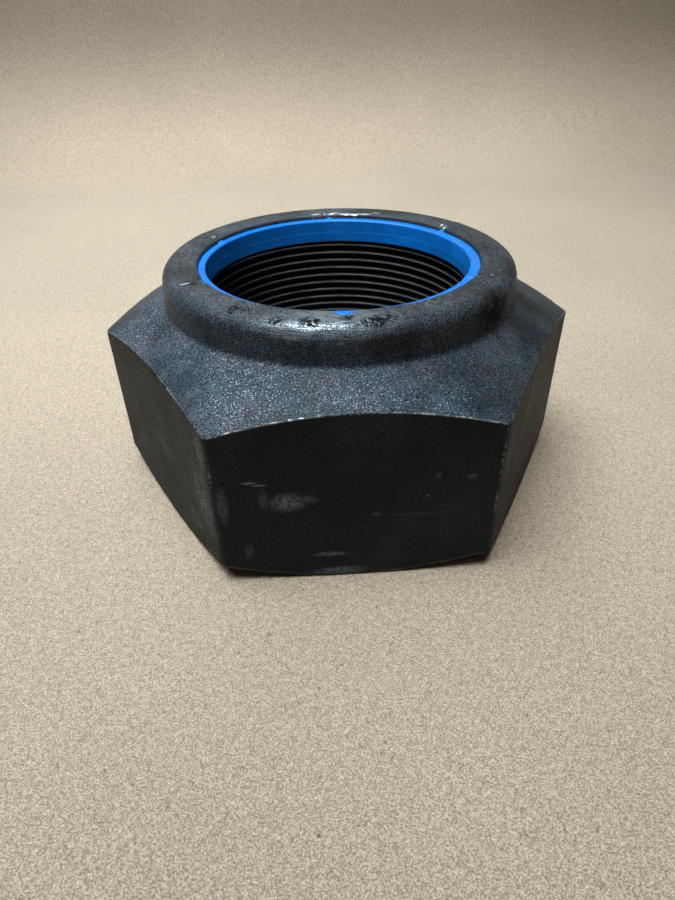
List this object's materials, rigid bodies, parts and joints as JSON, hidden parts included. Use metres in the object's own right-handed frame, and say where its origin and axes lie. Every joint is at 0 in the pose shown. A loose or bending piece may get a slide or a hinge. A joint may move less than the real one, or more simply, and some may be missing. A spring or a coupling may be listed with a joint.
{
  "type": "hex lock nut",
  "caption": "Heavy hexagonal lock nut with a conical top, a rolled collar and a nylon locking ring held under the collar's staked lip.",
  "frame": {"origin": "centre of the bearing face, on the thread's axis", "axes": "+Z along the thread's axis towards the collar, +X through a corner of the hexagon, one flat faces -Y"},
  "size_m": [0.0806, 0.07, 0.0385],
  "materials": {
    "phosphated_steel": "forged and turned steel with a dark phosphate coat, grainy and lightly worn",
    "blue_nylon": "smooth moulded nylon, bright blue"
  },
  "bodies": {
    "root": {"nut_body": "phosphated_steel", "nylon_ring": "blue_nylon"}
  },
  "joints": []
}
